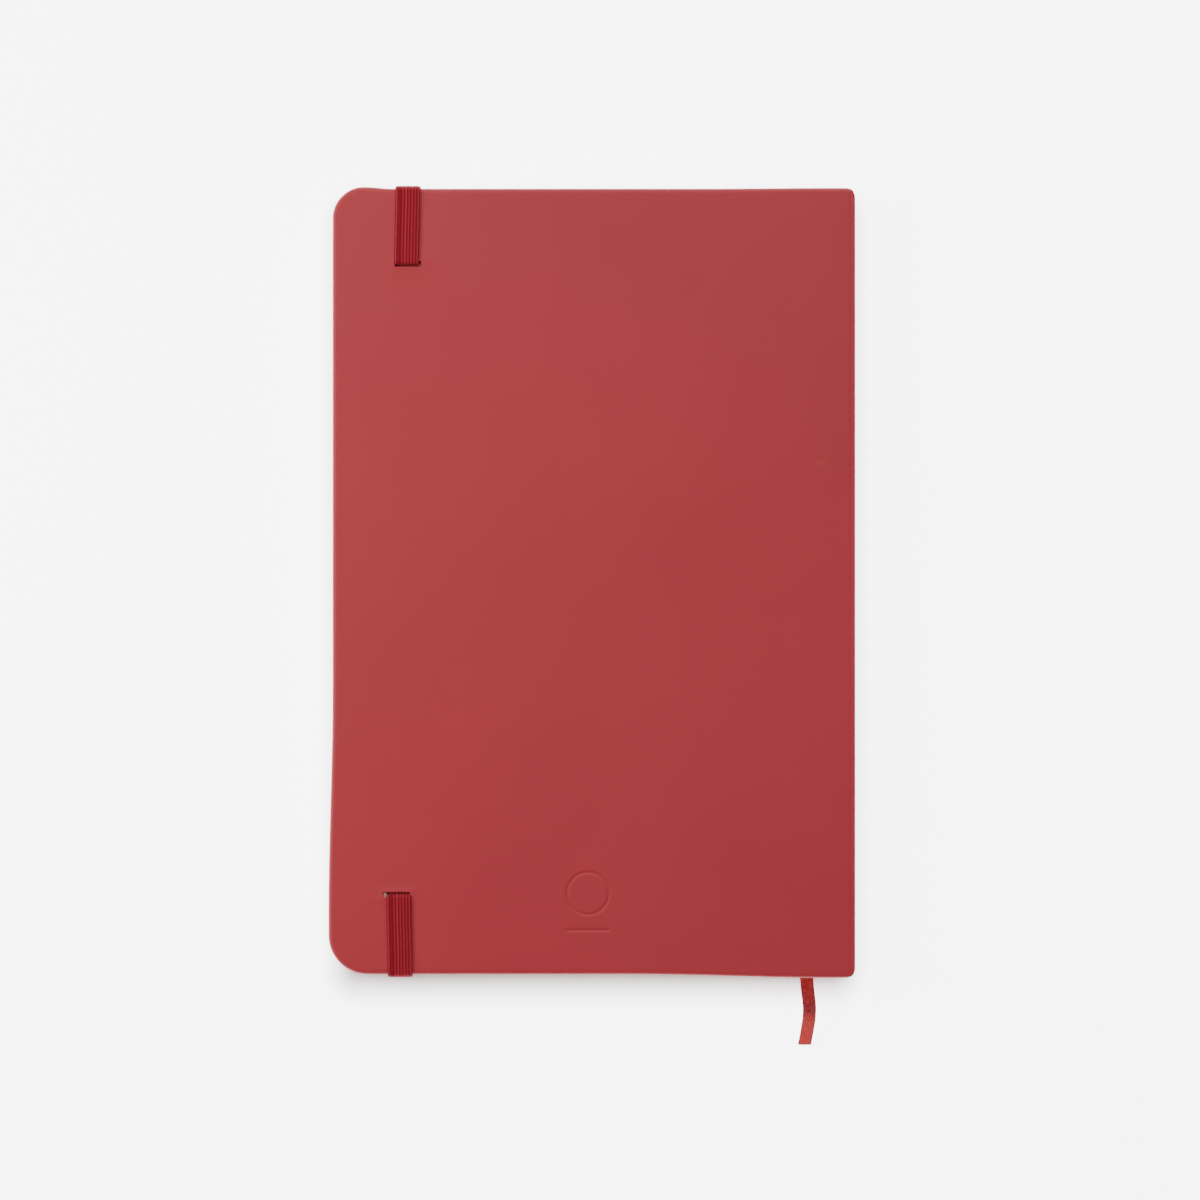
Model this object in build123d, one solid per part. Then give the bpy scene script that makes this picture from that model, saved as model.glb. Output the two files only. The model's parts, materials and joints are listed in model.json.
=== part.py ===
from build123d import *
import os

# Sewn hardcover notebook with an elastic closure and a ribbon marker, lying on its front cover.
# X runs from the fore-edge (-) to the spine (+), Y from the tail (-) to the head (+), Z is up.
# The origin is the centre of the base, under the elastic's front run. Sizes are in millimetres.

# Case
cover_height = 210.0
cover_width = 140.0
fore_corner_radius = 8.0
spine_corner_radius = 1.8
skin_thickness = 0.4
skin_wall = 0.5            # the skin's turned edge, outside the board
skin_edge_radius = 0.3
board_thickness = 1.8
liner_thickness = 0.2      # pastedown
liner_margin = 2.5         # from the cover's edge to the pastedown's edge
spine_board_thickness = 0.8
spine_lining_thickness = 0.1
spine_board_inset = 1.5    # from the spine skin's head and tail to the board's
hinge_depth = 0.8          # from a cover's outer face to its hinge line
hinge_clearance = 0.8      # from the hinge line to the cover's spine edge
spine_panel_lap = 0.4      # from the hinge line to the spine panel's long edge

# Text block
section_count = 3          # in each half of the block
section_thickness = 1.5
section_gap = 0.05
flyleaf_thickness = 0.15
middle_gap = 0.3           # where the ribbon lies
page_overhang = 2.5        # cover past the pages at head and tail
fore_overhang = 3.0        # cover past the pages at the fore-edge
page_corner_radius = 6.0
page_spine_clearance = 0.5
fold_radius = 0.6
stitch_count = 5
stitch_length = 14.0
stitch_pitch = 38.0
thread_radius = 0.2
thread_clearance = 0.03
band_radius = 0.5
band_clearance = 0.2
band_margin = 0.8          # from the text block's faces to the band's ends

# Elastic closure
elastic_width = 6.6
elastic_thickness = 0.8
elastic_head_from_fore = 20.2
elastic_tail_from_fore = 18.1
head_tab_length = 19.8
tail_tab_length = 20.9
glued_length = 12.0        # under the pastedown
slot_clearance = 0.4

# Ribbon marker
ribbon_width = 3.6
ribbon_thickness = 0.2
# Centre line on the page, from the head edge to the tail edge: X and Y.
ribbon_route = [
    (66.0, 102.5), (64.9, 62.0), (62.3, 20.0), (60.9, -24.0), (58.0, -66.0), (57.2, -83.0), (57.2, -102.5),
]
# Past the tail edge: Y and Z.
ribbon_drop = [(-102.7, 8.1), (-109.0, 8.0), (-114.8, 6.2), (-120.2, 3.4), (-125.2, 1.2)]

# Worked out
head_y = cover_height / 2
fore_x = -cover_width / 2
spine_x = cover_width / 2
cover_thickness = skin_thickness + board_thickness + liner_thickness
half_block = flyleaf_thickness + section_count * section_thickness + (section_count - 1) * section_gap
reach = cover_thickness + half_block + middle_gap / 2    # middle plane to a cover's outer face
middle_z = elastic_thickness + reach
spine_thickness = skin_thickness + spine_board_thickness
hinge_x = spine_x - spine_thickness / 2
hinge_reach = reach - hinge_depth
cover_spine_x = hinge_x - hinge_clearance
page_head_y = head_y - page_overhang
page_fore_x = fore_x + fore_overhang
panel_inner_x = spine_x - spine_thickness - spine_lining_thickness
page_spine_x = panel_inner_x - page_spine_clearance

parts = {}


def outline(low_x, high_x, reach_y, fore_radius, spine_radius=0.0):
    """Rectangle between two X values, with its fore-edge and spine corners rounded."""
    face = Pos((low_x + high_x) / 2, 0) * Rectangle(high_x - low_x, 2 * reach_y)
    face = fillet(face.vertices().group_by(Axis.X)[0], fore_radius)
    if spine_radius:
        face = fillet(face.vertices().group_by(Axis.X)[-1], spine_radius)
    return face


def low_of(side, depth, thickness):
    """Lowest Z of a layer that starts at a depth below a cover's outer face; side is -1 front, 1 back."""
    if side > 0:
        return middle_z + reach - depth - thickness
    return middle_z - reach + depth


def layer(face, side, depth, thickness):
    return extrude(Pos(0, 0, low_of(side, depth, thickness)) * face, thickness)


def block(low, high):
    """Box between two corners."""
    size = [top - bottom for bottom, top in zip(low, high)]
    centre = [(top + bottom) / 2 for bottom, top in zip(low, high)]
    return Pos(*centre) * Box(*size)


# Where the elastic's two ends enter the back cover: name, centre X, side of the cover, tab length
tabs = [
    ("head", fore_x + elastic_head_from_fore, 1, head_tab_length),
    ("tail", fore_x + elastic_tail_from_fore, -1, tail_tab_length),
]


def along_y(side_y, near, far):
    """Low and high Y of a stretch measured in from the head (1) or tail (-1) edge."""
    ends = sorted([side_y * (head_y - near), side_y * (head_y - far)])
    return ends[0], ends[1]


def elastic_slot(centre_x, side_y, tab_length):
    """The slot through the back cover, with the recess for the glued end under the pastedown."""
    half = elastic_width / 2 + slot_clearance
    low, high = along_y(side_y, tab_length - slot_clearance, tab_length + elastic_thickness + slot_clearance)
    top = middle_z + reach + elastic_thickness
    bottom = low_of(1, skin_thickness, board_thickness)
    slot = block((centre_x - half, low, bottom), (centre_x + half, high, top))
    low, high = along_y(side_y, tab_length, tab_length + glued_length + slot_clearance)
    recess = block((centre_x - half, low, bottom), (centre_x + half, high, bottom + elastic_thickness))
    return slot + recess


def cover(name, side):
    """One cover: a board wrapped by the skin, with the pastedown on its inner face."""
    skin_face = outline(fore_x, cover_spine_x, head_y, fore_corner_radius, spine_corner_radius)
    skin = layer(skin_face, side, 0, skin_thickness + board_thickness)
    outer_edges = skin.faces().sort_by(Axis.Z)[-1 if side > 0 else 0].edges()
    skin = fillet(outer_edges, skin_edge_radius)
    board_face = outline(
        fore_x + skin_wall, cover_spine_x - skin_wall, head_y - skin_wall,
        fore_corner_radius - skin_wall, spine_corner_radius - skin_wall,
    )
    board = layer(board_face, side, skin_thickness, board_thickness)
    skin -= board
    if side > 0:
        for _, centre_x, side_y, tab_length in tabs:
            slot = elastic_slot(centre_x, side_y, tab_length)
            skin -= slot
            board -= slot
    liner_face = outline(
        fore_x + liner_margin, cover_spine_x - skin_wall, head_y - liner_margin,
        fore_corner_radius - liner_margin,
    )
    parts[name + "_cover_skin"] = skin
    parts[name + "_cover_board"] = board
    parts[name + "_pastedown"] = layer(liner_face, side, skin_thickness + board_thickness, liner_thickness)


def section(number, side, order):
    """One folded section of the text block, with grooves in its fold that hold the sewing thread."""
    depth = cover_thickness + flyleaf_thickness + order * (section_thickness + section_gap)
    face = outline(page_fore_x, page_spine_x, page_head_y, page_corner_radius)
    leaves = layer(face, side, depth, section_thickness)
    fold_edges = leaves.edges().filter_by(Axis.Y).group_by(Axis.X)[-1]
    leaves = fillet(fold_edges, fold_radius)
    middle = low_of(side, depth, section_thickness) + section_thickness / 2
    thread_x = page_spine_x - thread_radius - thread_clearance
    half_groove = thread_radius + thread_clearance
    threads = []
    for place in range(stitch_count):
        centre_y = (place - (stitch_count - 1) / 2) * stitch_pitch
        half_length = stitch_length / 2 + thread_clearance
        leaves -= block(
            (thread_x - half_groove, centre_y - half_length, middle - half_groove),
            (page_spine_x + half_groove, centre_y + half_length, middle + half_groove),
        )
        threads.append(Pos(thread_x, centre_y, middle) * Rot(90, 0, 0) * Cylinder(thread_radius, stitch_length))
    parts[f"section_{number}"] = leaves
    parts[f"stitches_{number}"] = Compound(children=threads)


def spine():
    """The spine panel: skin, thin board and lining, with the head and tail bands glued inside it."""
    low = middle_z - hinge_reach - spine_panel_lap
    high = middle_z + hinge_reach + spine_panel_lap
    skin_x = spine_x - skin_thickness
    board_x = skin_x - spine_board_thickness
    board_y = head_y - spine_board_inset
    parts["spine_skin"] = block((skin_x, -head_y, low), (spine_x, head_y, high))
    parts["spine_board"] = block((board_x, -board_y, low), (skin_x, board_y, high))
    parts["spine_lining"] = block((panel_inner_x, -board_y, low), (board_x, board_y, high))
    band_length = 2 * (half_block + middle_gap / 2 - band_margin)
    band_x = panel_inner_x - band_radius
    band_y = page_head_y + band_clearance + band_radius
    for name, side_y in [("head", 1), ("tail", -1)]:
        roll = Pos(band_x, side_y * band_y, middle_z) * Cylinder(band_radius, band_length)
        low_z, high_z = middle_z - band_length / 2, middle_z + band_length / 2
        ends = sorted([side_y * (band_y - band_radius), side_y * (band_y + band_radius)])
        foot = block((band_x, ends[0], low_z), (panel_inner_x, ends[1], high_z))
        parts[name + "_band"] = roll + foot


def elastic():
    """The closure: two tabs fixed in the back cover, and the loop round the head, front and tail."""
    top = middle_z + reach
    bottom = low_of(1, skin_thickness, board_thickness)
    half = elastic_width / 2
    for name, centre_x, side_y, tab_length in tabs:
        inner = tab_length + elastic_thickness
        low, high = along_y(side_y, 0, inner)
        tab = block((centre_x - half, low, top), (centre_x + half, high, top + elastic_thickness))
        low, high = along_y(side_y, tab_length, inner)
        tab += block((centre_x - half, low, bottom), (centre_x + half, high, top))
        low, high = along_y(side_y, tab_length, tab_length + glued_length)
        tab += block((centre_x - half, low, bottom), (centre_x + half, high, bottom + elastic_thickness))
        parts[f"elastic_tab_{name}"] = tab
        low, high = along_y(side_y, -elastic_thickness, 0)
        parts[f"elastic_{name}_run"] = block(
            (centre_x - half, low, 0), (centre_x + half, high, top + elastic_thickness)
        )
    head_x, tail_x = tabs[0][1], tabs[1][1]
    face = make_face(Polyline(
        (head_x - half, head_y), (head_x + half, head_y),
        (tail_x + half, -head_y), (tail_x - half, -head_y), close=True,
    ))
    parts["elastic_front_run"] = extrude(face, elastic_thickness)


def bend_radii(points):
    """One radius for each corner: 0.45 of the shorter run, over the tangent of half the turn."""
    radii = []
    for before, corner, after in zip(points, points[1:], points[2:]):
        run_in = Vector(*corner) - Vector(*before)
        run_out = Vector(*after) - Vector(*corner)
        turn = run_in.get_angle(run_out)
        half_tangent = Vector(1, 0, 0).rotate(Axis.Z, turn / 2)
        radii.append(0.45 * min(run_in.length, run_out.length) * half_tangent.X / half_tangent.Y)
    return radii


def ribbon():
    """The marker: a flat run between the two middle sections, and a tail that droops past the pages."""
    radii = bend_radii(ribbon_route)
    print("ribbon radii on the page", [round(radius, 1) for radius in radii])
    path = FilletPolyline(*ribbon_route, radius=radii)
    run = sweep(Plane(path @ 0, z_dir=path % 0) * Rectangle(ribbon_width, ribbon_thickness), path)
    parts["ribbon_run"] = Pos(0, 0, middle_z) * run
    print("ribbon run", round(path.length, 1), "mm")
    drop = [(0, y, z) for y, z in ribbon_drop]
    radii = bend_radii(drop)
    print("ribbon radii past the pages", [round(radius, 1) for radius in radii])
    path = FilletPolyline(*drop, radius=radii)
    section_plane = Plane(path @ 0, x_dir=(1, 0, 0), z_dir=path % 0)
    tail = sweep(section_plane * Rectangle(ribbon_width, ribbon_thickness), path)
    parts["ribbon_tail"] = Pos(ribbon_route[-1][0], 0, 0) * tail
    print("ribbon tail", round(path.length, 1), "mm")


cover("front", -1)
cover("back", 1)
flyleaf_face = outline(page_fore_x, page_spine_x, page_head_y, page_corner_radius)
parts["front_flyleaf"] = layer(flyleaf_face, -1, cover_thickness, flyleaf_thickness)
parts["back_flyleaf"] = layer(flyleaf_face, 1, cover_thickness, flyleaf_thickness)
for order in range(section_count):
    section(order + 1, -1, order)
    section(2 * section_count - order, 1, order)
spine()
elastic()
ribbon()

os.makedirs("parts", exist_ok=True)
for name, shape in parts.items():
    export_step(shape, f"parts/{name}.step")
print(len(parts), "nodes; middle plane at Z", round(middle_z, 3), "hinge X", round(hinge_x, 3),
      "hinge Z", round(middle_z - hinge_reach, 3), round(middle_z + hinge_reach, 3))
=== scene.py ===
import json
import math

import bmesh
import bpy
import numpy as np
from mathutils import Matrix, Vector


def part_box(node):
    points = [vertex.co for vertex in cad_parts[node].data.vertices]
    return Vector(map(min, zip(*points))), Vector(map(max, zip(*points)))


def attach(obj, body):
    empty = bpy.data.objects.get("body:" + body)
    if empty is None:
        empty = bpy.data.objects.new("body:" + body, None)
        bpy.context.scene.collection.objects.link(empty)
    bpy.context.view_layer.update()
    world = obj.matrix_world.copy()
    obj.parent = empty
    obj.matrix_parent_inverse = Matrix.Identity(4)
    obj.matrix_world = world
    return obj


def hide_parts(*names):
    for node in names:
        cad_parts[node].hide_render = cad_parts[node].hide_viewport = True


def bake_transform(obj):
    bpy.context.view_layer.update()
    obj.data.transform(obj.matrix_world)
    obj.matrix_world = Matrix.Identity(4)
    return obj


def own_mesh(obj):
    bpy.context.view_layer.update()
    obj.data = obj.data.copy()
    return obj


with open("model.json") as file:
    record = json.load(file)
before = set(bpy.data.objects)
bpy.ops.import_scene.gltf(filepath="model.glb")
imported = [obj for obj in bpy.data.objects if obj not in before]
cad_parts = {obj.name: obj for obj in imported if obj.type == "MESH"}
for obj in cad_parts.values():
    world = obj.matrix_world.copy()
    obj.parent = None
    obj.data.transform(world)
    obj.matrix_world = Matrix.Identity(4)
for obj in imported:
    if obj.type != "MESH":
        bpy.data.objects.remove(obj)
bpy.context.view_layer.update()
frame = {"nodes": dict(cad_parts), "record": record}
print("frame loaded")

# The meshes are worked out in millimetres, as numpy grids, and become metres in makeShell.
mm = 0.001
rng = np.random.default_rng(7)


def boxOf(node):
    low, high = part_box(node)
    return np.array(low) / mm, np.array(high) / mm


def jointPlace(name):
    joint = [one for one in frame["record"]["behaviour"]["joints"] if one["name"] == name][0]
    return np.array(joint["pos_m"]) / mm


backLow, backHigh = boxOf("back_cover_skin")
frontLow, frontHigh = boxOf("front_cover_skin")
panelLow, panelHigh = boxOf("spine_skin")
pagesLow, pagesHigh = boxOf("section_1")
backHinge = jointPlace("back_cover_open")
frontHinge = jointPlace("front_cover_open")
middleZ = (panelLow[2] + panelHigh[2]) / 2

# camera, straight above the back cover, with the notebook a little left of and above the middle
cameraLook = {"height": 1300.0, "viewWidth": 321.0, "centreX": 1.6, "centreY": -4.95, "sensor": 36.0}
cameraData = bpy.data.cameras.new("camera")
cameraObject = bpy.data.objects.new("camera", cameraData)
bpy.context.collection.objects.link(cameraObject)
cameraData.sensor_width = cameraLook["sensor"]
cameraData.lens = cameraLook["sensor"] * (cameraLook["height"] - backHigh[2]) / cameraLook["viewWidth"]
cameraObject.location = (cameraLook["centreX"] * mm, cameraLook["centreY"] * mm, cameraLook["height"] * mm)
bpy.context.scene.camera = cameraObject
print("camera set")


def linearColour(hexText):
    # sRGB to linear: each channel over 12.92, or ((c + 0.055) / 1.055) to the power 2.4
    channels = [int(hexText[i:i + 2], 16) / 255 for i in (1, 3, 5)]
    return tuple(c / 12.92 if c <= 0.04045 else ((c + 0.055) / 1.055) ** 2.4 for c in channels) + (1.0,)


def addNode(tree, kind, settings=None, inputs=None):
    # an input is a number, a colour, a socket, or a node, whose first output is then meant
    node = tree.nodes.new(kind)
    for key, value in (settings or {}).items():
        setattr(node, key, value)
    for key, value in (inputs or {}).items():
        if isinstance(value, bpy.types.Node):
            value = value.outputs[0]
        if isinstance(value, bpy.types.NodeSocket):
            tree.links.new(value, node.inputs[key])
        else:
            node.inputs[key].default_value = value
    return node


def startMaterial(name, roughness, ior=1.5):
    material = bpy.data.materials.new(name)
    material.use_nodes = True
    tree = material.node_tree
    shader = tree.nodes["Principled BSDF"]
    shader.inputs["Roughness"].default_value = roughness
    shader.inputs["IOR"].default_value = ior
    place = addNode(tree, "ShaderNodeTexCoord")
    return material, tree, shader, place


def finishMaterial(tree, shader, colour, height, depthMm, strength=1.0):
    # joins the mixed colour, and a surface raised by the height times the depth, to the shader
    tree.links.new(colour.outputs[2], shader.inputs["Base Color"])
    bump = addNode(tree, "ShaderNodeBump", inputs={
        "Height": height, "Distance": depthMm * mm, "Strength": strength,
    })
    tree.links.new(bump.outputs["Normal"], shader.inputs["Normal"])


def grain(place, sizeMm, detail=3.0):
    # what a noise needs so that its grain has this size in millimetres
    return {"Vector": place.outputs["Object"], "Scale": 1000 / sizeMm, "Detail": detail}


# settings of the math and mix nodes
multiply, add, subtract, divide = [{"operation": one} for one in ("MULTIPLY", "ADD", "SUBTRACT", "DIVIDE")]
sine, absolute, power = [{"operation": one} for one in ("SINE", "ABSOLUTE", "POWER")]
wholePart, fraction = [{"operation": one} for one in ("FLOOR", "FRACT")]
lessThan, greaterThan = [{"operation": one} for one in ("LESS_THAN", "GREATER_THAN")]
colourMix = {"data_type": "RGBA"}

leatheretteLook = {
    "light": "#A22932", "dark": "#98222B", "cloudMm": 45.0, "pebbleMm": 0.45, "pebbleDeepMm": 0.014,
    "scuff": "#B24443", "scuffAt": (60.5, 31.7), "scuffWide": 2.6, "scuffFlat": 2.2, "scuffGrainMm": 0.8,
    "scuffStrength": 0.5,
}


def softTouchLeatherette():
    # Matt polyurethane skin cast on a smooth paper: a dry, even sheen with a faint pebble and cloudy tone.
    look = leatheretteLook
    material, tree, shader, place = startMaterial("softTouchLeatherette", 0.58)
    cloud = addNode(tree, "ShaderNodeTexNoise", inputs=grain(place, look["cloudMm"], 4.0))
    tone = addNode(tree, "ShaderNodeMix", colourMix, {
        0: cloud, 6: linearColour(look["dark"]), 7: linearColour(look["light"]),
    })
    # one short scuff near the spine: a soft spot, wider than it is tall, broken up by fine noise
    middle = [look["scuffAt"][0] * mm, look["scuffAt"][1] * mm, backHigh[2] * mm]
    wide = 1000 / look["scuffWide"]
    scale = (wide, wide * look["scuffFlat"], wide)
    spot = addNode(tree, "ShaderNodeMapping", {"vector_type": "POINT"}, {
        "Vector": place.outputs["Object"], "Scale": scale,
        "Location": [-one * size for one, size in zip(middle, scale)],
    })
    ball = addNode(tree, "ShaderNodeTexGradient", {"gradient_type": "SPHERICAL"}, {"Vector": spot})
    broken = addNode(tree, "ShaderNodeTexNoise", inputs=grain(place, look["scuffGrainMm"]))
    scuffAndShine = addNode(tree, "ShaderNodeMath", multiply, {0: ball.outputs[1], 1: broken})
    scuff = addNode(tree, "ShaderNodeMath", multiply, {0: scuffAndShine, 1: look["scuffStrength"]})
    colour = addNode(tree, "ShaderNodeMix", colourMix, {
        0: scuff, 6: tone.outputs[2], 7: linearColour(look["scuff"]),
    })
    # the pebble is drawn a little coarser than the real one so that it shows
    pebble = addNode(tree, "ShaderNodeTexNoise", inputs=grain(place, look["pebbleMm"], 2.0))
    finishMaterial(tree, shader, colour, pebble, look["pebbleDeepMm"], 0.5)
    shader.inputs["Specular IOR Level"].default_value = 0.32
    shader.inputs["Sheen Weight"].default_value = 0.04
    shader.inputs["Sheen Roughness"].default_value = 0.5
    return material


paperLook = {
    "dark": "#EEE6D2", "light": "#F6F0E0", "fibreMm": 0.6, "rule": "#9A9C9E", "ruleStrength": 0.55,
    "ruleMm": 7.0, "ruleWide": 0.04, "firstRule": 86.0, "lastRule": -96.0,
}


def ivoryPaper(name, lined):
    # Uncoated wood-free paper: no gloss, short fibres, and grey ruled lines 7 mm apart on the pages.
    look = paperLook
    material, tree, shader, place = startMaterial(name, 0.92)
    fibre = addNode(tree, "ShaderNodeTexNoise", inputs=grain(place, look["fibreMm"], 4.0))
    colour = addNode(tree, "ShaderNodeMix", colourMix, {
        0: fibre, 6: linearColour(look["dark"]), 7: linearColour(look["light"]),
    })
    if lined:
        up = addNode(tree, "ShaderNodeSeparateXYZ", inputs={0: place.outputs["Object"]}).outputs[1]
        spaces = addNode(tree, "ShaderNodeMath", divide, {0: up, 1: look["ruleMm"] * mm})
        along = addNode(tree, "ShaderNodeMath", fraction, {0: spaces})
        line = addNode(tree, "ShaderNodeMath", lessThan, {0: along, 1: look["ruleWide"]})
        belowHead = addNode(tree, "ShaderNodeMath", lessThan, {0: up, 1: look["firstRule"] * mm})
        aboveTail = addNode(tree, "ShaderNodeMath", greaterThan, {0: up, 1: look["lastRule"] * mm})
        started = addNode(tree, "ShaderNodeMath", multiply, {0: line, 1: belowHead})
        ruled = addNode(tree, "ShaderNodeMath", multiply, {0: started, 1: aboveTail})
        ink = addNode(tree, "ShaderNodeMath", multiply, {0: ruled, 1: look["ruleStrength"]})
        colour = addNode(tree, "ShaderNodeMix", colourMix, {
            0: ink, 6: colour.outputs[2], 7: linearColour(look["rule"]),
        })
    finishMaterial(tree, shader, colour, fibre, 0.01, 0.5)
    return material


def greyBoard():
    # Pressed bookbinding board: dull grey pulp with darker flecks.
    material, tree, shader, place = startMaterial("greyBoard", 0.95)
    fleck = addNode(tree, "ShaderNodeTexNoise", inputs=grain(place, 0.5, 5.0))
    colour = addNode(tree, "ShaderNodeMix", colourMix, {
        0: fleck, 6: linearColour("#77736C"), 7: linearColour("#A39F96"),
    })
    finishMaterial(tree, shader, colour, fleck, 0.03)
    return material


# valley: painted shade between the cords; crest: painted highlight on the cords' crests
elasticLook = {"valleyShade": "#70081A", "crestHighlight": "#B62C36", "ribs": 8, "weftMm": 0.55, "crestPower": 5.0}


def elasticWebbing():
    # Woven polyester over rubber cords, deep red: painted shade between the cords and a painted highlight on
    # their crests, stronger on some cords than others.
    look = elasticLook
    material, tree, shader, place = startMaterial("elasticWebbing", 0.8)
    part = addNode(tree, "ShaderNodeSeparateXYZ", inputs={0: place.outputs["UV"]})
    across, along = part.outputs[0], part.outputs[1]
    # across: 0 to 1 over the width; the crest of a rib is where |sin| of its half turns is near 1, and the
    # painted highlight lies there
    turns = addNode(tree, "ShaderNodeMath", multiply, {0: across, 1: look["ribs"] * math.pi})
    wave = addNode(tree, "ShaderNodeMath", absolute, {0: addNode(tree, "ShaderNodeMath", sine, {0: turns})})
    crestHighlight = addNode(tree, "ShaderNodeMath", power, {0: wave, 1: look["crestPower"]})
    # each cord's painted highlight has its own strength: a noise read once for every whole number of ribs
    # across
    ribsAcross = addNode(tree, "ShaderNodeMath", multiply, {0: across, 1: look["ribs"]})
    cord = addNode(tree, "ShaderNodeMath", wholePart, {0: ribsAcross})
    cordNumber = addNode(tree, "ShaderNodeMath", add, {0: cord, 1: 3.0})
    cordShine = addNode(tree, "ShaderNodeTexWhiteNoise", {"noise_dimensions": "1D"}, {"W": cordNumber})
    rows = addNode(tree, "ShaderNodeMath", multiply, {0: along, 1: 2 * math.pi / look["weftMm"]})
    weft = addNode(tree, "ShaderNodeMath", sine, {0: rows})
    fuzz = addNode(tree, "ShaderNodeTexNoise", inputs=grain(place, 0.35, 4.0))
    # brightness of the painted highlight: the crest, times 0.9 of the cord's own noise plus 0.1, times the
    # fuzz plus 0.4
    cordShineShare = addNode(tree, "ShaderNodeMath", multiply, {0: cordShine.outputs["Value"], 1: 0.9})
    scuffAndShine = addNode(tree, "ShaderNodeMath", add, {0: cordShineShare, 1: 0.1})
    paintedCrestLight = addNode(tree, "ShaderNodeMath", multiply, {0: crestHighlight, 1: scuffAndShine})
    fuzzTone = addNode(tree, "ShaderNodeMath", add, {0: fuzz, 1: 0.4})
    bright = addNode(tree, "ShaderNodeMath", multiply, {0: paintedCrestLight, 1: fuzzTone})
    colour = addNode(tree, "ShaderNodeMix", colourMix, {
        0: bright, 6: linearColour(look["valleyShade"]), 7: linearColour(look["crestHighlight"]),
    })
    weftHeight = addNode(tree, "ShaderNodeMath", multiply, {0: weft, 1: 0.35})
    height = addNode(tree, "ShaderNodeMath", add, {0: weftHeight, 1: fuzz})
    finishMaterial(tree, shader, colour, height, 0.05, 0.7)
    shader.inputs["Specular IOR Level"].default_value = 0.15
    shader.inputs["Sheen Weight"].default_value = 0.04
    return material


# tones: a painted sheen, as light and dark stretches along the ribbon's length
satinLook = {
    "dark": "#6C0816", "light": "#CC3C38", "paintedSheenLong": 22.0, "threads": 14, "streaks": 1.5, "dots": 0.9,
    "paintedSheenTones": ((0.0, 0.95), (0.32, 0.75), (0.5, 0.22), (0.7, 0.4), (1.0, 0.62)),
}


def satinRibbon():
    # Polyester satin: long floats make streaks along the ribbon, and a painted sheen makes it light and dark
    # in turn along its length.
    look = satinLook
    material, tree, shader, place = startMaterial("satinRibbon", 0.45)
    stretched = addNode(tree, "ShaderNodeMapping", inputs={
        "Vector": place.outputs["UV"], "Scale": (3.5, 0.5, 1.0),
    })
    streak = addNode(tree, "ShaderNodeTexNoise", inputs={"Vector": stretched, "Scale": 2.2, "Detail": 5.0})
    speckle = addNode(tree, "ShaderNodeTexNoise", inputs=grain(place, 0.7, 2.0))
    part = addNode(tree, "ShaderNodeSeparateXYZ", inputs={0: place.outputs["UV"]})
    # the second coordinate counts millimetres from the free end; the stretch there has the painted sheen
    # tones listed above
    share = addNode(tree, "ShaderNodeMath", divide, {0: part.outputs[1], 1: look["paintedSheenLong"]})
    paintedSheen = addNode(tree, "ShaderNodeValToRGB", inputs={0: share})
    while len(paintedSheen.color_ramp.elements) < len(look["paintedSheenTones"]):
        paintedSheen.color_ramp.elements.new(0.5)
    for stop, (position, tone) in zip(paintedSheen.color_ramp.elements, look["paintedSheenTones"]):
        stop.position = position
        stop.color = (tone, tone, tone, 1)
    # the painted sheen tone, plus so many times the streak's and the speckle's distance from a half
    streakOff = addNode(tree, "ShaderNodeMath", subtract, {0: streak, 1: 0.5})
    speckleOff = addNode(tree, "ShaderNodeMath", subtract, {0: speckle, 1: 0.5})
    streaks = addNode(tree, "ShaderNodeMath", multiply, {0: streakOff, 1: look["streaks"]})
    dots = addNode(tree, "ShaderNodeMath", multiply, {0: speckleOff, 1: look["dots"]})
    mottle = addNode(tree, "ShaderNodeMath", add, {0: streaks, 1: dots})
    total = addNode(tree, "ShaderNodeMath", add, {0: paintedSheen, 1: mottle})
    factor = addNode(tree, "ShaderNodeClamp", inputs={0: total})
    colour = addNode(tree, "ShaderNodeMix", colourMix, {
        0: factor, 6: linearColour(look["dark"]), 7: linearColour(look["light"]),
    })
    turns = addNode(tree, "ShaderNodeMath", multiply, {0: part.outputs[0], 1: 2 * math.pi * look["threads"]})
    thread = addNode(tree, "ShaderNodeMath", sine, {0: turns})
    height = addNode(tree, "ShaderNodeMath", add, {0: thread, 1: streak})
    finishMaterial(tree, shader, colour, height, 0.02, 0.6)
    shader.inputs["Specular IOR Level"].default_value = 0.3
    shader.inputs["Anisotropic"].default_value = 0.5
    shader.inputs["Sheen Weight"].default_value = 0.06
    return material


def stripedBandCloth():
    # Head band: cotton rolled on a cord, in red and ivory stripes 1 mm wide.
    material, tree, shader, place = startMaterial("stripedBandCloth", 0.85)
    part = addNode(tree, "ShaderNodeSeparateXYZ", inputs={0: place.outputs["Object"]})
    turns = addNode(tree, "ShaderNodeMath", multiply, {0: part.outputs[2], 1: math.pi / mm})
    wave = addNode(tree, "ShaderNodeMath", sine, {0: turns})
    stripe = addNode(tree, "ShaderNodeMath", greaterThan, {0: wave, 1: 0.0})
    colour = addNode(tree, "ShaderNodeMix", colourMix, {
        0: stripe, 6: linearColour("#A3323A"), 7: linearColour("#E9DFC8"),
    })
    fibre = addNode(tree, "ShaderNodeTexNoise", inputs=grain(place, 0.2))
    finishMaterial(tree, shader, colour, fibre, 0.03)
    return material


def plainThread(name, dark, light):
    # Waxed cotton or open lining cloth: matt, with a fine crossed fibre.
    material, tree, shader, place = startMaterial(name, 0.8)
    fibre = addNode(tree, "ShaderNodeTexNoise", inputs=grain(place, 0.25))
    colour = addNode(tree, "ShaderNodeMix", colourMix, {
        0: fibre, 6: linearColour(dark), 7: linearColour(light),
    })
    finishMaterial(tree, shader, colour, fibre, 0.02)
    return material


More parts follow.
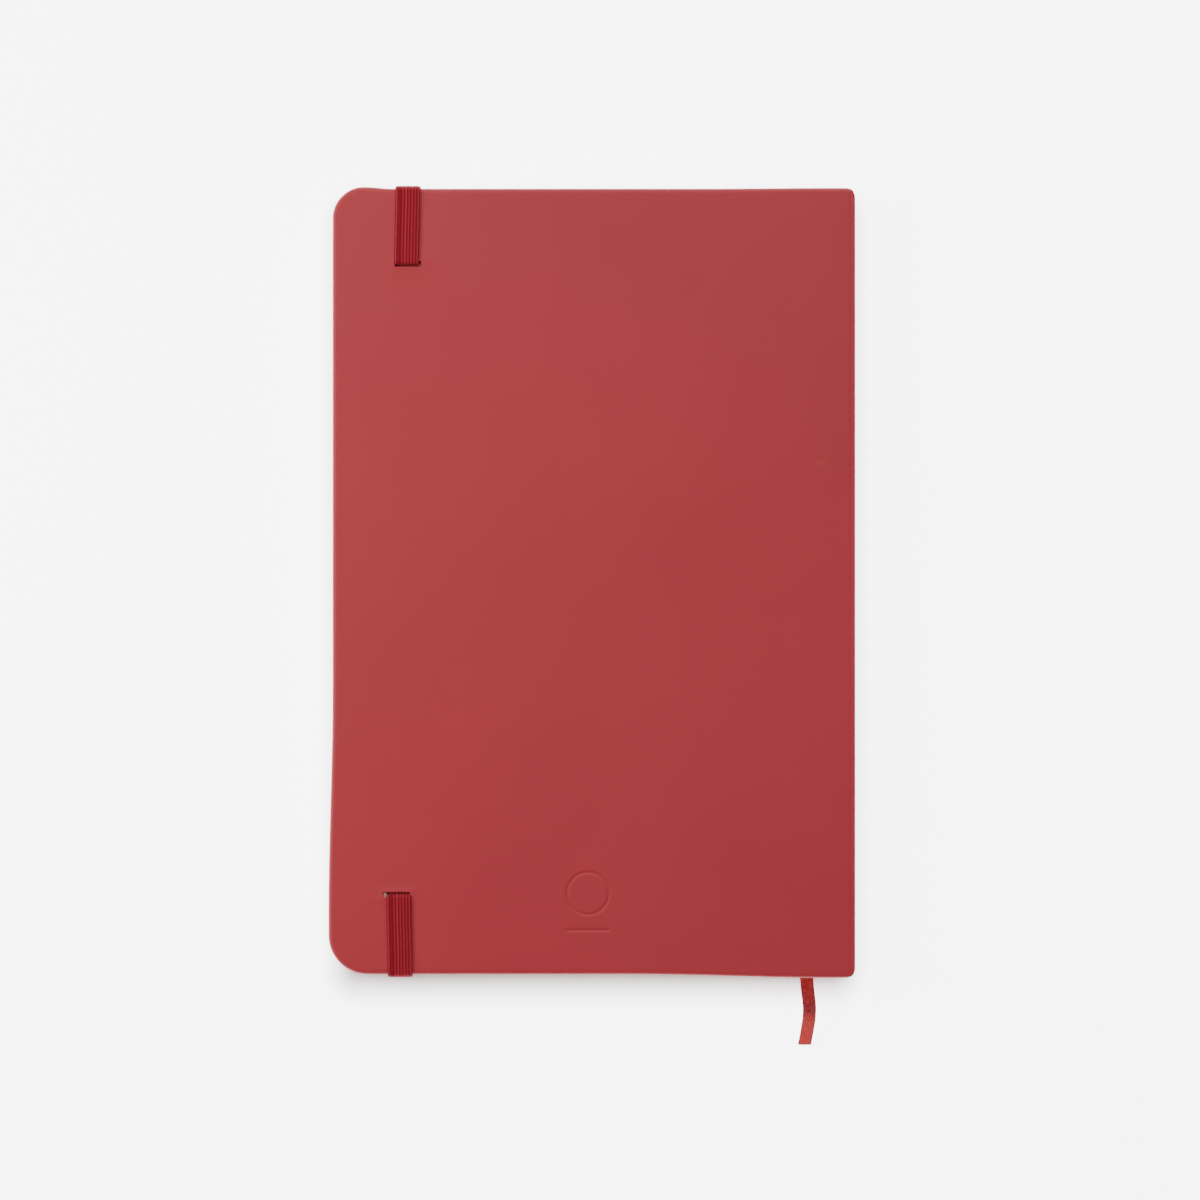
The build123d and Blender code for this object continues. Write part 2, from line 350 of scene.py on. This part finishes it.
leatherette = softTouchLeatherette()
endpaper = ivoryPaper("ivoryEndpaper", False)
pagePaper = ivoryPaper("ruledPagePaper", True)
board = greyBoard()
webbing = elasticWebbing()
satin = satinRibbon()
bandCloth = stripedBandCloth()
sewingThread = plainThread("waxedThread", "#CFC9B8", "#F0EDE2")
liningCloth = plainThread("liningCloth", "#C9C4B6", "#E6E2D6")
print("materials made")


# shapes

def steps(*stretches):
    # each stretch is (start, end, how many); the values come back sorted, each one once
    values = np.concatenate([np.linspace(*one) for one in stretches])
    return np.unique(np.round(values, 4))


def cornerSteps(radius, count):
    # offsets from an edge that are even in angle round a corner: radius times (1 - cosine)
    return radius * (1 - np.cos(np.linspace(0, math.pi / 2, count)))


def smooth(value, low, high):
    t = np.clip((value - low) / (high - low), 0, 1)
    return t * t * (3 - 2 * t)


def roll(distance, width, height, power=2.4):
    # how far a face has dropped near its edge: a superellipse quarter of that width and height
    t = np.clip(1 - distance / width, 0, 1)
    return height * (1 - (1 - t ** power) ** (1 / power))


def makeShell(name, grids, material, uvs=None, sharp=50):
    # Each pair of grids, (outer, inner), of rows x columns x 3, becomes one closed shell.
    points, faces, flat = [], [], []
    start = 0
    for number, (outer, inner) in enumerate(grids):
        rows, cols = outer.shape[:2]
        index = np.arange(rows * cols).reshape(rows, cols) + start
        other = index + rows * cols
        for side in (index, other[:, ::-1]):
            quads = [side[:-1, :-1], side[:-1, 1:], side[1:, 1:], side[1:, :-1]]
            faces.append(np.stack(quads, -1).reshape(-1, 4))
        ring = np.concatenate([index[0, :-1], index[:-1, -1], index[-1, :0:-1], index[:0:-1, 0]])
        far = np.concatenate([other[0, :-1], other[:-1, -1], other[-1, :0:-1], other[:0:-1, 0]])
        faces.append(np.stack([ring, far, np.roll(far, -1), np.roll(ring, -1)], -1))
        points += [outer.reshape(-1, 3), inner.reshape(-1, 3)]
        if uvs:
            flat += [uvs[number].reshape(-1, 2)] * 2
        start += 2 * rows * cols
    mesh = bpy.data.meshes.new(name)
    mesh.from_pydata((np.concatenate(points) * mm).tolist(), [], np.concatenate(faces).tolist())
    if uvs:
        corners = np.empty(len(mesh.loops), dtype=np.int64)
        mesh.loops.foreach_get("vertex_index", corners)
        layer = mesh.uv_layers.new(name="across")
        layer.data.foreach_set("uv", np.concatenate(flat)[corners].ravel())
    solid = bmesh.new()
    solid.from_mesh(mesh)
    bmesh.ops.recalc_face_normals(solid, faces=solid.faces)
    solid.to_mesh(mesh)
    solid.free()
    mesh.shade_smooth()
    mesh.set_sharp_from_angle(angle=math.radians(sharp))
    mesh.materials.append(material)
    piece = bpy.data.objects.new(name, mesh)
    bpy.context.collection.objects.link(piece)
    return piece


# covers

coverLook = {
    "foreRadius": 8.0, "tailRadius": 10.5, "spineRadius": 2.6, "rollWide": 1.3, "rollDeep": 1.1,
    "innerRollWide": 0.7, "edgeFlat": 0.15, "knee": 6.0, "faceDrop": 0.05, "skin": 0.4,
    "thinOver": (0.02, 0.5), "turnIn": 0.06, "turnInFade": 0.4,
    "creaseAt": 68.75, "creaseDeep": 0.07, "creaseWide": 0.22,
    "swell": 0.04, "swellLong": (23, 31), "swellStart": (0.4, 0.7), "swellFade": 12, "hingeZone": 1.0,
    "markAt": (-1.6, -83.3), "markRadius": 5.6, "markLine": (5.6, -9.8), "markDeep": 0.17, "markWide": 0.34,
}
unevenLook = {
    "edgeSwell": 0.18, "tailFrom": 20, "headFrom": 40, "tailDip": 0.95, "dipOver": (10, 62),
    "headBump": 0.45, "bumpAt": -61, "bumpWide": 7, "clearOver": (3.5, 11),
    "spineRise": 0.2, "riseOver": (30, 62),
    "foreFlare": 1.1, "flareOver": (30, 88),
}
slotLook = {
    "halfWide": 3.42, "halfTall": 0.6, "deep": 1.15, "wallOver": (-0.08, 0.1),
    "pucker": 0.14, "puckerWide": 1.3, "lipRise": 0.3, "glued": 12.0, "tabThick": 0.8,
}
tabHead = dict(zip(("low", "high"), boxOf("elastic_tab_head")))
tabTail = dict(zip(("low", "high"), boxOf("elastic_tab_tail")))
glued, halfThick = slotLook["glued"], slotLook["tabThick"] / 2
slots = [
    ((tabHead["low"][0] + tabHead["high"][0]) / 2, tabHead["low"][1] + glued - halfThick),
    ((tabTail["low"][0] + tabTail["high"][0]) / 2, tabTail["high"][1] - glued + halfThick),
]
foreX, headY = backLow[0], backHigh[1]
spineX = panelHigh[0]


def reachAt(x):
    # half the cover's height at X: full, and round the spine corner an arc of spineRadius
    radius = coverLook["spineRadius"]
    past = np.clip(x - (spineX - radius), 0, radius)
    return headY - radius + np.sqrt(radius ** 2 - past ** 2)


def uneven(x, y):
    # how far a hand-made case strays from a rectangle: its tail dips towards the spine, its head rises
    # a little away from the elastic, and its fore-edge flares towards the tail
    look = unevenLook
    clear = smooth(np.abs(x - slots[0][0]), *look["clearOver"])
    dip = look["edgeSwell"] + look["tailDip"] * smooth(x, *look["dipOver"])
    tail = -smooth(-y, look["tailFrom"], headY) * dip
    bump = look["headBump"] * np.exp(-((x - look["bumpAt"]) / look["bumpWide"]) ** 2) * clear
    bump = bump + look["spineRise"] * smooth(x, *look["riseOver"])
    head = smooth(y, look["headFrom"], headY) * (look["edgeSwell"] + bump)
    fore = -look["foreFlare"] * smooth(-y, *look["flareOver"]) * smooth(-x, 0, -foreX)
    return x + fore, y + tail + head


def coverGrid(columns, rows, hingeX):
    # Rows are straight lines from the fore-edge outline to the hinge line; columns share them out.
    radius = np.where(rows < 0, coverLook["tailRadius"], coverLook["foreRadius"])
    past = np.clip(np.abs(rows) - (headY - radius), 0, radius)
    low = foreX + radius - np.sqrt(radius ** 2 - past ** 2)
    share = (columns - foreX) / (hingeX - foreX)
    x = low[:, None] + share[None, :] * (hingeX - low)[:, None]
    knee = headY - coverLook["knee"]
    tall = np.abs(rows)[:, None]
    y = np.where(tall < knee, tall, knee + (tall - knee) / (headY - knee) * (reachAt(x) - knee))
    y = y * np.sign(rows)[:, None]
    # distance in from the outline on the head, tail and fore-edge, round the two fore-edge corners
    radius = radius[:, None]
    inX, inY = foreX + radius - x, np.abs(y) - (headY - radius)
    corner = radius - np.hypot(inX, inY)
    straight = np.minimum(x - foreX, reachAt(x) - np.abs(y))
    return x, y, np.where((inX > 0) & (inY > 0), corner, straight)


def slotCut(x, y, centreX, centreY):
    # a pocket with steep walls, inside a lip that the pulled skin raises
    pastSides = np.abs(x - centreX) - slotLook["halfWide"]
    pastEnds = np.abs(y - centreY) - slotLook["halfTall"]
    outside = np.maximum(pastSides, pastEnds)
    pocket = slotLook["deep"] * smooth(-outside, *slotLook["wallOver"])
    lip = slotLook["pucker"] * np.exp(-(np.clip(outside, 0, None) / slotLook["puckerWide"]) ** 2)
    return pocket - lip * smooth(outside, 0, slotLook["lipRise"])


def markCut(x, y):
    # a plain pressed ring with a short line under it
    markX, markY = coverLook["markAt"]
    ring = np.abs(np.hypot(x - markX, y - markY) - coverLook["markRadius"])
    half, below = coverLook["markLine"]
    line = np.hypot(np.clip(np.abs(x - markX) - half, 0, None), y - markY - below)
    near = np.minimum(ring, line)
    return coverLook["markDeep"] * np.exp(-(near / coverLook["markWide"]) ** 2)


def makeCover(name, low, high, hinge, side, columns, rows, details):
    # The skin round its board: a slab with rolled edges, thinned to the skin alone over the hinge.
    x, y, inward = coverGrid(columns, rows, hinge[0])
    thick = high[2] - low[2]
    crease = coverLook["creaseDeep"] * np.exp(-((x - coverLook["creaseAt"]) / coverLook["creaseWide"]) ** 2)
    # slow swells of the glued skin, under a tenth of a millimetre
    longX, longY = coverLook["swellLong"]
    startX, startY = coverLook["swellStart"]
    swell = coverLook["swell"] * np.sin(x / longX + startX * side) * np.cos(y / longY + startY)
    swell = swell * smooth(inward, 0, coverLook["swellFade"])
    outerDrop = roll(inward, coverLook["rollWide"], coverLook["rollDeep"]) + crease
    outerDrop = outerDrop + coverLook["faceDrop"] + swell
    if details:
        outerDrop = outerDrop + markCut(x, y)
        for centreX, centreY in slots:
            outerDrop = outerDrop + slotCut(x, y, centreX, centreY)
    innerDeep = thick - coverLook["rollDeep"] - coverLook["edgeFlat"]
    innerRise = roll(inward, coverLook["innerRollWide"], innerDeep)
    boardEnd = boxOf("back_cover_board")[1][0]
    thinFrom, thinTo = coverLook["thinOver"]
    thin = smooth(x, boardEnd + thinFrom, boardEnd + thinTo) * (thick - coverLook["skin"] - crease)
    # over the board the turned-in skin lies just proud of it
    overBoard = 1 - smooth(x, boardEnd, boardEnd + coverLook["turnInFade"])
    innerRise = np.maximum(innerRise, thin) - coverLook["turnIn"] * overBoard
    outer, inner = thick - outerDrop, innerRise
    base = low[2]
    if side < 0:
        outer, inner = outerDrop, thick - innerRise
    x, y = uneven(x, y)
    faces = (np.stack([x, y, base + outer], -1), np.stack([x, y, base + inner], -1))
    return makeShell(name, [faces], leatherette)


# where the grids' lines lie, each stretch as (start, end, how many), finer at the slots and the mark
gridLook = {
    "foreSteps": 25, "tailSteps": 28,
    "plainX": ((-60, 66, 22), (66, backHinge[0], 26)), "plainY": ((-94.5, 97, 30),),
    "fineX": ((-56.2, -45.6, 56), (-8.5, 5.3, 60)),
    "fineY": ((83.2, 86.4, 34), (-94.2, -85.4, 42), (-85.4, -82, 36), (-82, -76.8, 26)),
}
edge = cornerSteps(coverLook["foreRadius"], gridLook["foreSteps"])
tailEdge = cornerSteps(coverLook["tailRadius"], gridLook["tailSteps"])
plainColumns = np.unique(np.concatenate([foreX + edge, steps(*gridLook["plainX"])]))
plainRows = np.unique(np.concatenate([tailEdge - headY, headY - edge, steps(*gridLook["plainY"])]))
fineColumns = np.unique(np.concatenate([plainColumns, steps(*gridLook["fineX"])]))
fineRows = np.unique(np.concatenate([plainRows, steps(*gridLook["fineY"])]))
backCover = makeCover("backCoverSkin", backLow, backHigh, backHinge, 1, fineColumns, fineRows, True)
frontCover = makeCover("frontCoverSkin", frontLow, frontHigh, frontHinge, -1, plainColumns, plainRows, False)
for piece, hinge, leaves, cover in (
    (backCover, backHinge, "back_leaves", "back_cover"),
    (frontCover, frontHinge, "front_leaves", "front_cover"),
):
    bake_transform(piece)
    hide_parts(cover + "_skin")
print("covers made")


# spine

spineLook = {
    "cornerRadius": 0.75, "thick": 0.38, "faceDrop": 0.05, "endRoll": 0.5, "endDeep": 0.25, "turnIn": 1.25,
    "turnInLong": 2.3, "turnInFade": 0.2, "endSteps": (4.0, 14), "rows": (-100, 100, 24), "hingeHalf": 0.5,
}


def makeSpineHalf(name, side, hinge, coverFace):
    # Profile: from the hinge line over the rounded back edge and down the flat spine to its middle.
    radius = spineLook["cornerRadius"]
    angles = np.linspace(math.pi / 2, 0, 12)
    centreZ = coverFace - side * radius
    # the back edge starts on the cover's face at the hinge line and ends on the spine's outer face
    startX = spineX - radius
    down = np.linspace(centreZ, middleZ, 16)[1:]
    normal = np.concatenate([
        np.stack([np.cos(angles), side * np.sin(angles)], -1), np.tile([1.0, 0.0], (len(down), 1)),
    ])
    middle = np.concatenate([
        np.tile([startX, centreZ], (len(angles), 1)), np.stack([np.full(len(down), startX), down], -1),
    ])
    ends = cornerSteps(*spineLook["endSteps"])
    rows = np.unique(np.concatenate([ends - headY, headY - ends, steps(spineLook["rows"])])) / headY
    grids = []
    reach = reachAt(startX + normal[None, :, 0] * radius)
    y = rows[:, None] * reach
    inward = reach - np.abs(y)
    # inside, the skin is turned in over the board's two ends, where the spine is flat
    level = (np.arange(len(middle)) >= len(angles))[None, :]
    deeper = spineLook["turnIn"] - spineLook["thick"]
    turned = smooth(spineLook["turnInLong"] - inward, 0, spineLook["turnInFade"]) * deeper * level
    outerDrop = spineLook["faceDrop"] + roll(inward, spineLook["endRoll"], spineLook["endDeep"])
    for depth in (outerDrop, spineLook["thick"] + turned):
        x = middle[:, 0] + normal[:, 0] * (radius - depth)
        z = middle[:, 1] + normal[:, 1] * (radius - depth)
        grids.append(np.stack([*uneven(x, y), z], -1))
    return makeShell(name, [tuple(grids)], leatherette)


spineBack = makeSpineHalf("spineSkinBack", 1, backHinge, backHigh[2])
spineFront = makeSpineHalf("spineSkinFront", -1, frontHinge, frontLow[2])
for piece, hinge, below, above in (
    (spineBack, backHinge, "spine", "back_leaves"), (spineFront, frontHinge, "front_leaves", "spine"),
):
    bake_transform(piece)
    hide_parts("spine_skin")
print("spine made")


# pages

pageLook = {"sheets": 8, "paper": 0.086, "cornerRadius": 6.0, "flatFrom": 12, "uneven": 0.14}
sectionBodies = ["front_leaves", "leaves_2", "leaves_3", "leaves_4", "leaves_5", "back_leaves"]


def foldedSheet(low, high, depth, pitch):
    # One sheet folded round the fold: out along the lower leaf, half a turn, and back along the upper one.
    # depth counts sheets from the outside, so the half turn's radius gets smaller inwards.
    half = (high[2] - low[2]) / 2
    centreZ, centreX = (high[2] + low[2]) / 2, high[0] - half
    radius = half - (depth + 0.5) * pitch
    shift = rng.uniform(-pageLook["uneven"], 0, 2)
    edgeX = low[0] - shift[0]
    corner = pageLook["cornerRadius"]
    flat = np.linspace(edgeX + pageLook["flatFrom"], centreX, 4)
    along = np.concatenate([edgeX + cornerSteps(corner, 9), flat])
    angles = np.linspace(-math.pi / 2, math.pi / 2, 9)
    x = np.concatenate([along, centreX + radius * np.cos(angles[1:-1]), along[::-1]])
    leaf = np.full(len(along), radius)
    z = np.concatenate([-leaf, radius * np.sin(angles[1:-1]), leaf])
    normalX = np.concatenate([np.zeros(len(along)), np.cos(angles[1:-1]), np.zeros(len(along))])
    normalZ = np.concatenate([-np.ones(len(along)), np.sin(angles[1:-1]), np.ones(len(along))])
    inward = np.clip(corner - (x - edgeX), 0, corner)
    reach = high[1] + shift[1] - corner + np.sqrt(corner ** 2 - inward ** 2)
    rows = np.array([-1.0, 0.0, 1.0])[:, None]
    grids = []
    for offset in (pageLook["paper"] / 2, -pageLook["paper"] / 2):
        across = np.broadcast_to(x + normalX * offset, (3, len(x)))
        up = np.broadcast_to(centreZ + z + normalZ * offset, (3, len(x)))
        grids.append(np.stack([across, rows * reach, up], -1))
    return tuple(grids)


for number, body in enumerate(sectionBodies, 1):
    low, high = boxOf(f"section_{number}")
    pitch = (high[2] - low[2]) / (2 * pageLook["sheets"])
    sheets = [foldedSheet(low, high, depth, pitch) for depth in range(pageLook["sheets"])]
    leaves = makeShell(f"sectionLeaves{number}", sheets, pagePaper)
    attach(leaves, body)
    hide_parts(f"section_{number}")
print("pages made")


# elastic closure

webbingLook = {
    "width": 6.6, "half": 0.35, "rib": 0.09, "samples": 81, "selvedgeThin": 0.6, "wander": 0.05,
    "bend": 1.2, "slotBend": 0.7, "lean": 0.35, "slotGap": 0.25, "slotDeep": 1.35,
    "topGap": 0.05, "floorGap": 0.03, "edgeGap": 0.24,
}
elasticTop = tabHead["high"][2] - webbingLook["half"] - webbingLook["topGap"]
elasticLow = webbingLook["half"] + webbingLook["floorGap"]
elasticEdge = headY + webbingLook["half"] + webbingLook["edgeGap"]
headX, tailX = slots[0][0], (tabTail["low"][0] + tabTail["high"][0]) / 2


def quarter(centreY, centreZ, radius, first, last, count=12):
    angles = np.radians(np.linspace(first, last, count))
    return np.stack([centreY + radius * np.cos(angles), centreZ + radius * np.sin(angles)], -1)


def makeWebbing(name, centreX, path):
    # A ribbed strip carried along a path in Y and Z: its thickness is a half sine for each rib.
    tangent = np.gradient(path, axis=0)
    tangent /= np.linalg.norm(tangent, axis=1)[:, None]
    normal = np.stack([-tangent[:, 1], tangent[:, 0]], -1)
    length = np.concatenate([[0], np.cumsum(np.linalg.norm(np.diff(path, axis=0), axis=1))])
    across = np.linspace(-1, 1, webbingLook["samples"])
    ribs = np.abs(np.sin((across + 1) / 2 * elasticLook["ribs"] * math.pi))
    selvedge = 1 - np.abs(across) ** 14 * webbingLook["selvedgeThin"]
    thick = (webbingLook["half"] - webbingLook["rib"] + webbingLook["rib"] * ribs) * selvedge
    # the selvedge wanders by a few hundredths of a millimetre, as woven edges do
    wander = webbingLook["wander"] * np.sin(length * 1.9)[:, None] * across[None, :]
    grids = []
    for side in (1, -1):
        x = centreX[:, None] + across[None, :] * webbingLook["width"] / 2 + wander
        y = path[:, 0, None] + side * normal[:, 0, None] * thick[None, :]
        z = path[:, 1, None] + side * normal[:, 1, None] * thick[None, :]
        grids.append(np.stack([x, y, z], -1))
    uv = np.stack(np.broadcast_arrays((across[None, :] + 1) / 2, length[:, None]), -1)
    return makeShell(name, [tuple(grids)], webbing, [uv], sharp=80)


def straight(first, last, count):
    return np.linspace(first, last, count)[1:]


bend = webbingLook["bend"]
topEdge, lowEdge = elasticEdge - bend, elasticTop - bend


def makeTab(name, node, side, slotPlace, edgeX):
    # Up out of the slot, over its lip, and along the cover to the head or tail edge.
    slotY = abs(slotPlace[1]) + webbingLook["slotGap"]
    radius = webbingLook["slotBend"]
    rise = np.array([[slotY, elasticTop - webbingLook["slotDeep"]], [slotY, elasticTop - radius - 0.1]])
    lip = quarter(slotY + radius, elasticTop - radius, radius, 180, 90)
    path = np.concatenate([rise, lip, straight((slotY + radius, elasticTop), (topEdge, elasticTop), 40)])
    travel = smooth(path[:, 0], slotY, topEdge)
    path[:, 0] *= side
    piece = makeWebbing(name, edgeX - webbingLook["lean"] * (1 - travel), path)
    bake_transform(piece)
    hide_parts(node)


makeTab("elasticTabHead", "elastic_tab_head", 1, slots[0], headX)
makeTab("elasticTabTail", "elastic_tab_tail", -1, slots[1], tailX)

underY = elasticEdge - bend
loopPath = np.concatenate([
    quarter(topEdge, lowEdge, bend, 90, 0),
    straight((elasticEdge, lowEdge), (elasticEdge, elasticLow + bend), 14),
    quarter(underY, elasticLow + bend, bend, 0, -90)[1:],
    straight((underY, elasticLow), (-underY, elasticLow), 90),
    quarter(-underY, elasticLow + bend, bend, -90, -180)[1:],
    straight((-elasticEdge, elasticLow + bend), (-elasticEdge, lowEdge), 14),
    quarter(-topEdge, lowEdge, bend, 180, 90)[1:],
])
loopX = tailX + (headX - tailX) * (loopPath[:, 0] + elasticEdge) / (2 * elasticEdge)
elasticLoop = makeWebbing("elasticLoop", loopX, loopPath)
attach(elasticLoop, "elastic_loop")
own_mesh(elasticLoop)
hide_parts("elastic_head_run", "elastic_front_run", "elastic_tail_run")
print("elastic made")


# ribbon marker

ribbonLook = {
    "width": 3.6, "half": 0.08, "crown": 0.12, "wave": 0.05, "samples": 17, "liftZone": 3.0,
    "squareOver": (8, 20), "freeOver": (1, 8),
}
ribbonRoute = [
    (66.0, 102.5, 8.1), (64.9, 62.0, 8.1), (62.3, 20.0, 8.1), (60.9, -24.0, 8.1), (58.0, -66.0, 8.1),
    (57.2, -83.0, 8.1), (57.0, -102.5, 8.1), (57.3, -109.0, 8.0), (58.2, -114.8, 6.2),
    (57.8, -120.2, 3.4), (56.9, -125.2, 1.2),
]


def splinePoints(route):
    # the smooth line through the route, read from its NURBS spline
    curve = bpy.data.curves.new("ribbonRoute", "CURVE")
    curve.dimensions = "3D"
    spline = curve.splines.new("NURBS")
    spline.points.add(len(route) - 1)
    spline.points.foreach_set("co", np.column_stack([np.array(route), np.ones(len(route))]).ravel())
    spline.order_u = 3
    spline.use_endpoint_u = True
    spline.resolution_u = 24
    holder = bpy.data.objects.new("ribbonRoute", curve)
    mesh = bpy.data.meshes.new_from_object(holder)
    points = np.empty(len(mesh.vertices) * 3)
    mesh.vertices.foreach_get("co", points)
    bpy.data.objects.remove(holder)
    bpy.data.meshes.remove(mesh)
    bpy.data.curves.remove(curve)
    return points.reshape(-1, 3)


def makeRibbon():
    # A flat strip carried along the spline; past the pages its middle rises a little, like pressed satin.
    path = splinePoints(ribbonRoute)
    tangent = np.gradient(path, axis=0)
    tangent /= np.linalg.norm(tangent, axis=1)[:, None]
    side = np.cross(tangent, [0.0, 0.0, 1.0])
    side /= np.linalg.norm(side, axis=1)[:, None]
    # the free end was cut square to the book, so there the strip's width turns level with the tail edge
    squareFrom, squareTo = ribbonLook["squareOver"]
    square = smooth(-path[:, 1], headY + squareFrom, headY + squareTo)[:, None]
    side = side * (1 - square) + np.array([np.sign(side[-1, 0]), 0.0, 0.0]) * square
    side /= np.linalg.norm(side, axis=1)[:, None]
    normal = np.cross(side, tangent)
    normal /= np.linalg.norm(normal, axis=1)[:, None]
    length = np.concatenate([[0], np.cumsum(np.linalg.norm(np.diff(path, axis=0), axis=1))])
    across = np.linspace(-1, 1, ribbonLook["samples"])
    freeFrom, freeTo = ribbonLook["freeOver"]
    free = smooth(-path[:, 1], headY + freeFrom, headY + freeTo)[:, None]
    wave = ribbonLook["wave"] * np.sin(length * 0.9)[:, None] * across
    crown = free * (ribbonLook["crown"] * (1 - across[None, :] ** 2) + wave)
    grids = []
    for sign in (1, -1):
        up = (crown + sign * ribbonLook["half"])[:, :, None]
        over = (across * ribbonLook["width"] / 2)[None, :, None]
        grids.append(path[:, None, :] + side[:, None, :] * over + normal[:, None, :] * up)
    uv = np.stack(np.broadcast_arrays((across[None, :] + 1) / 2, length[-1] - length[:, None]), -1)
    return makeShell("ribbonMarker", [tuple(grids)], satin, [uv], sharp=60), path, length[-1]


ribbon, ribbonPath, ribbonLength = makeRibbon()
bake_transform(ribbon)
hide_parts("ribbon_run", "ribbon_tail")
print("ribbon made,", round(float(ribbonLength), 1), "mm")


# CAD pieces that stay

for nodes, material in (
    (("front_cover_board", "back_cover_board", "spine_board"), board),
    (("front_pastedown", "back_pastedown", "front_flyleaf", "back_flyleaf"), endpaper),
    (("head_band", "tail_band"), bandCloth),
    (("spine_lining",), liningCloth),
    ([f"stitches_{number}" for number in range(1, 7)], sewingThread),
):
    for node in nodes:
        for place in frame["nodes"][node].material_slots:
            place.material = material
print("CAD pieces finished")


# floor and light

# the floor's glow is painted light, weaker near the notebook, where it leaves a painted shade round it
studioLook = {
    "floor": "#FAFAFA", "floorSize": 6.0, "world": 0.42,
    "glow": 6.0, "glowCentre": (0.0, -4.0, 0.0), "glowHalf": (64.0, 101.0, 1.0), "glowFade": 12.0,
    "lamps": (
        {"name": "keyLight", "at": (0.05, 0.7, 1.3), "size": 0.4, "power": 10.0},
        {"name": "fillLight", "at": (-0.4, 0.05, 0.3), "size": 0.3, "power": 1.9},
        {"name": "rimLight", "at": (0.0, 1.1, 0.22), "size": 0.4, "power": 3.0},
    ),
}


def makeStage():
    size = studioLook["floorSize"]
    corners = np.array([[-1, -1, 0], [1, -1, 0], [1, 1, 0], [-1, 1, 0]]) * size / 2
    mesh = bpy.data.meshes.new("floor")
    mesh.from_pydata(corners.tolist(), [], [[0, 1, 2, 3]])
    material, tree, shader, place = startMaterial("glowingFloor", 0.9)
    shader.inputs["Base Color"].default_value = linearColour(studioLook["floor"])
    shader.inputs["Specular IOR Level"].default_value = 0.1
    # Away from the notebook the floor glows, a painted light that makes it read as white there.
    # The glow grows with the distance from a box under the notebook and is full at glowFade; the weaker glow
    # near it is a painted shade round the notebook.
    away = place.outputs["Object"]
    for operation, other in (
        ("SUBTRACT", "glowCentre"), ("ABSOLUTE", None), ("SUBTRACT", "glowHalf"), ("MAXIMUM", None),
    ):
        inputs = {0: away, 1: [one * mm for one in studioLook[other]]} if other else {0: away}
        away = addNode(tree, "ShaderNodeVectorMath", {"operation": operation}, inputs).outputs[0]
    distance = addNode(tree, "ShaderNodeVectorMath", {"operation": "LENGTH"}, {0: away}).outputs["Value"]
    glow = addNode(tree, "ShaderNodeMapRange", {"interpolation_type": "SMOOTHSTEP"}, {
        "Value": distance, "From Max": studioLook["glowFade"] * mm, "To Max": studioLook["glow"],
    })
    shader.inputs["Emission Color"].default_value = (1, 1, 1, 1)
    tree.links.new(glow.outputs[0], shader.inputs["Emission Strength"])
    mesh.materials.append(material)
    floor = bpy.data.objects.new("floor", mesh)
    bpy.context.collection.objects.link(floor)
    world = bpy.data.worlds.new("studio")
    world.use_nodes = True
    world.node_tree.nodes["Background"].inputs["Strength"].default_value = studioLook["world"]
    world.node_tree.nodes["Background"].inputs["Color"].default_value = (1, 1, 1, 1)
    bpy.context.scene.world = world
    for look in studioLook["lamps"]:
        lamp = bpy.data.lights.new(look["name"], "AREA")
        lamp.energy = look["power"]
        lamp.size = look["size"]
        light = bpy.data.objects.new(look["name"], lamp)
        bpy.context.collection.objects.link(light)
        light.location = look["at"]
        light.rotation_euler = (-Vector(look["at"])).to_track_quat("-Z", "Y").to_euler()


makeStage()
print("stage set")
